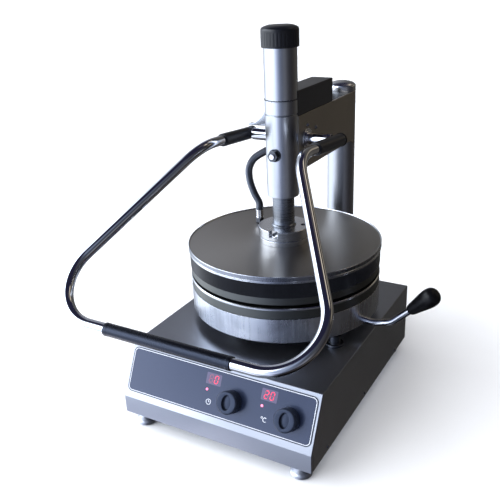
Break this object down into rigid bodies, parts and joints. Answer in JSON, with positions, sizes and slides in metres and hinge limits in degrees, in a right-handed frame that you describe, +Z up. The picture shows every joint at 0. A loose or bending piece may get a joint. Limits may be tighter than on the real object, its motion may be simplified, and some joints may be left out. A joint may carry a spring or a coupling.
{
  "type": "pizza press",
  "caption": "Countertop heated press for pizza dough: a bent handle drives a toothed ram and round plate down onto a swing-out round plate.",
  "frame": {"origin": "on the ground under the middle of the bounding box, between the feet", "axes": "+Z up along the ram, +X to the right of a person who faces the control panel, +Y away from the panel towards the rear column"},
  "size_m": [0.6158, 0.7914, 0.7645],
  "materials": {
    "brushed_steel": "satin brushed stainless sheet and tube",
    "polished_steel": "ground and polished stainless steel",
    "chrome": "bright chrome plate",
    "cast_aluminium": "cast, machined face, grey",
    "black_enamel": "glossy black baked enamel on steel",
    "black_plastic": "moulded, fine satin",
    "black_rubber": "matte rubber",
    "blue_panel": "printed polyester film, slate blue, semi-gloss",
    "red_lens": "clear red display window",
    "zinc_steel": "zinc-plated steel",
    "white_plastic": "moulded, off-white",
    "board_green": "circuit board with its components, matte"
  },
  "bodies": {
    "frame": {"case_shell": "brushed_steel", "base_pan": "zinc_steel", "control_label": "blue_panel", "timer_display": "red_lens", "heat_display": "red_lens", "timer_lamp": "red_lens", "heat_lamp": "red_lens", "timer_control": "zinc_steel", "heat_control": "zinc_steel", "control_board": "board_green", "foot_front_left": "black_rubber", "foot_front_right": "black_rubber", "foot_rear_left": "black_rubber", "foot_rear_right": "black_rubber", "cable_gland": "black_plastic", "rear_column": "brushed_steel", "column_cap": "polished_steel", "column_saddle": "brushed_steel", "arm_cheek_right": "brushed_steel", "arm_cheek_left": "brushed_steel", "arm_web": "brushed_steel", "switch_housing": "black_plastic", "stop_bracket": "zinc_steel", "ram_tube": "brushed_steel", "tube_collar": "brushed_steel", "spring_tube": "brushed_steel", "top_cap": "black_plastic", "guide_screw": "zinc_steel", "bearing_right": "brushed_steel", "bearing_left": "brushed_steel", "hose_gland": "zinc_steel", "flex_hose": "zinc_steel", "return_spring": "zinc_steel", "pivot_post": "brushed_steel", "glide_pad_1": "white_plastic", "glide_pad_2": "white_plastic"},
    "handle": {"pinion_shaft": "polished_steel", "handle_bar": "chrome", "front_grip": "black_rubber", "handle_socket_left": "black_plastic", "handle_socket_right": "black_plastic", "shaft_collar_left": "chrome", "shaft_collar_right": "chrome"},
    "ram": {"ram_rod": "polished_steel", "ram_flange": "brushed_steel", "pressure_hub": "brushed_steel", "upper_cover": "brushed_steel", "upper_band": "black_enamel", "upper_hot_plate": "cast_aluminium", "upper_heater": "zinc_steel", "hose_nut": "black_plastic", "hose_ferrule": "chrome", "spring_nut": "zinc_steel"},
    "lower_plate": {"lower_shell": "polished_steel", "lower_hot_plate": "cast_aluminium", "lower_heater": "zinc_steel", "lever_rod": "chrome", "lever_knob": "black_plastic"},
    "timer_dial": {"timer_knob": "black_plastic"},
    "heat_dial": {"heat_knob": "black_plastic"}
  },
  "joints": [
    {"name": "handle_turn", "type": "hinge", "parent": "frame", "child": "handle", "pos_m": [-0.04463, 0.0952, 0.54], "axis": [-1, 0, 0], "range_deg": [0, 90]},
    {"name": "ram_slide", "type": "slide", "parent": "frame", "child": "ram", "axis": [0, 0, 1], "range_m": [0, 0.0377], "deforming": ["flex_hose", "return_spring"]},
    {"name": "lower_swing", "type": "hinge", "parent": "frame", "child": "lower_plate", "pos_m": [0.11587, -0.0508, 0.1897], "axis": [0, 0, 1], "range_deg": [0, 55]},
    {"name": "timer_turn", "type": "hinge", "parent": "frame", "child": "timer_dial", "pos_m": [-0.00913, -0.25327, 0.11895], "axis": [0, 0.8926, -0.4508], "range_deg": [0, 270]},
    {"name": "heat_turn", "type": "hinge", "parent": "frame", "child": "heat_dial", "pos_m": [0.11087, -0.25327, 0.11895], "axis": [0, 0.8926, -0.4508], "range_deg": [0, 270]}
  ],
  "couplings": [
    {"joint": "ram_slide", "follows": "handle_turn", "m_per_rad": 0.024}
  ]
}
